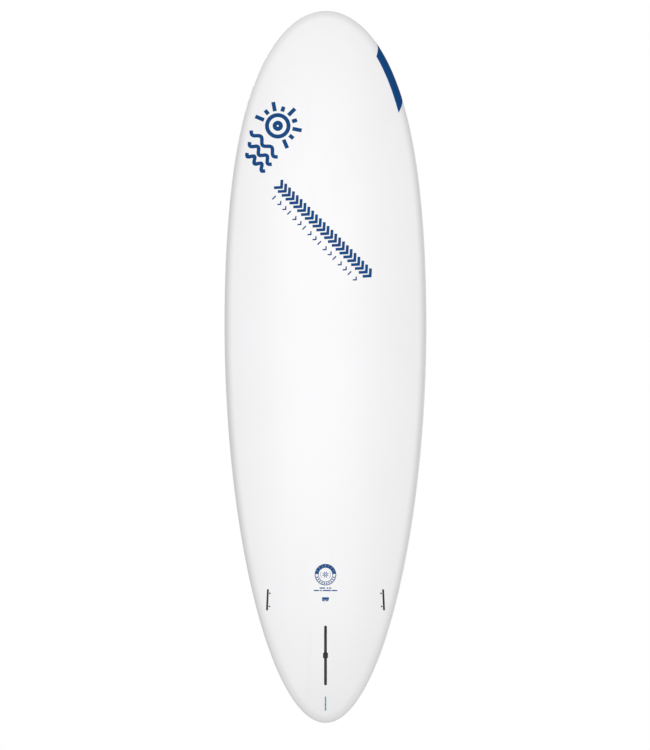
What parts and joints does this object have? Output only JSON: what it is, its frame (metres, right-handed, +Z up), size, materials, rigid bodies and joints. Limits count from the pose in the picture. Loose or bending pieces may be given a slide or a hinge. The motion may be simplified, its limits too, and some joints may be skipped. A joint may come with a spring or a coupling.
{
  "type": "windsurf board",
  "caption": "Round-nosed light-wind windsurf board with a flat-bottomed foam hull, deck pads, mast track, carry handle, air vent, leash plug and empty fin boxes.",
  "frame": {"origin": "on the ground, under the middle of the board", "axes": "the board lies on its bottom with +Z up, the nose towards -Y and the tail towards +Y, so its left rail is at +X"},
  "size_m": [0.8636, 3.048, 0.1596],
  "materials": {
    "bottom_paint": "gloss",
    "breather_membrane": "matte",
    "core_foam": "matte",
    "cup_plastic": "matte",
    "deck_paint": "gloss",
    "dense_foam": "matte",
    "fin_box_plastic": "satin",
    "fitting_plastic": "satin",
    "grip_rubber": "matte",
    "pad_grey": "matte",
    "pad_navy": "matte",
    "pin_steel": "polished",
    "plate_steel": "satin",
    "plug_plastic": "satin",
    "screw_steel": "satin",
    "seal_rubber": "satin",
    "side_box_plastic": "satin",
    "stringer_wood": "matte",
    "track_plastic": "satin"
  },
  "bodies": {
    "hull": {"bottom_skin": "bottom_paint", "deck_skin": "deck_paint", "fin_box": "fin_box_plastic", "fin_box_block": "dense_foam", "foam_core_left": "core_foam", "foam_core_right": "core_foam", "handle_cup": "cup_plastic", "handle_grip": "grip_rubber", "handle_screw_front": "screw_steel", "handle_screw_rear": "screw_steel", "leash_cup": "fitting_plastic", "leash_pin": "pin_steel", "mast_track_block": "dense_foam", "mast_track_box": "track_plastic", "pad_centre": "pad_grey", "pad_front": "pad_grey", "pad_kick": "pad_navy", "pad_mast_left": "pad_grey", "pad_mast_right": "pad_grey", "pad_rear": "pad_grey", "side_fin_block_left": "dense_foam", "side_fin_block_right": "dense_foam", "side_fin_box_left": "side_box_plastic", "side_fin_box_right": "side_box_plastic", "stringer": "stringer_wood", "vent_cup": "fitting_plastic", "vent_disc": "breather_membrane"},
    "fin_plate_body": {"fin_plate": "plate_steel"},
    "fin_screw_body": {"fin_screw": "screw_steel"},
    "grub_screw_left_front_body": {"grub_screw_left_front": "screw_steel"},
    "grub_screw_left_rear_body": {"grub_screw_left_rear": "screw_steel"},
    "grub_screw_right_front_body": {"grub_screw_right_front": "screw_steel"},
    "grub_screw_right_rear_body": {"grub_screw_right_rear": "screw_steel"},
    "mast_nut_body": {"mast_nut": "plate_steel"},
    "vent_plug_body": {"vent_plug": "plug_plastic"},
    "vent_seal_body": {"vent_seal": "seal_rubber"}
  },
  "joints": [
    {"name": "fin_plate_slide", "type": "slide", "parent": "hull", "child": "fin_plate_body", "axis": [0, 0.9986, 0.0526], "range_m": [-0.108, 0.108]},
    {"name": "fin_screw_turn", "type": "hinge", "parent": "fin_plate_body", "child": "fin_screw_body", "pos_m": [0, 1.23438, 0.04408], "axis": [0, 0.0526, -0.9986], "continuous": true},
    {"name": "mast_nut_slide", "type": "slide", "parent": "hull", "child": "mast_nut_body", "axis": [0, 0.9999, 0.0142], "range_m": [-0.102, 0.102]},
    {"name": "vent_lift", "type": "slide", "parent": "hull", "child": "vent_seal_body", "axis": [0, 0.0229, 0.9997], "range_m": [0, 0.006]},
    {"name": "vent_turn", "type": "hinge", "parent": "vent_seal_body", "child": "vent_plug_body", "pos_m": [0.062, -0.83, 0.10947], "axis": [0, 0.0229, 0.9997], "range_deg": [0, 1440]},
    {"name": "grub_screw_left_front_turn", "type": "hinge", "parent": "hull", "child": "grub_screw_left_front_body", "pos_m": [0.24063, 0.96853, 0.02813], "axis": [-0.4995, 0.0682, -0.8636], "continuous": true},
    {"name": "grub_screw_left_rear_turn", "type": "hinge", "parent": "hull", "child": "grub_screw_left_rear_body", "pos_m": [0.24318, 1.02459, 0.03108], "axis": [-0.4995, 0.0682, -0.8636], "continuous": true},
    {"name": "grub_screw_right_front_turn", "type": "hinge", "parent": "hull", "child": "grub_screw_right_front_body", "pos_m": [-0.24063, 0.96853, 0.02813], "axis": [0.4995, 0.0682, -0.8636], "continuous": true},
    {"name": "grub_screw_right_rear_turn", "type": "hinge", "parent": "hull", "child": "grub_screw_right_rear_body", "pos_m": [-0.24318, 1.02459, 0.03108], "axis": [0.4995, 0.0682, -0.8636], "continuous": true}
  ],
  "couplings": [
    {"joint": "vent_turn", "follows": "vent_lift", "rad_per_m": 4188.8}
  ]
}
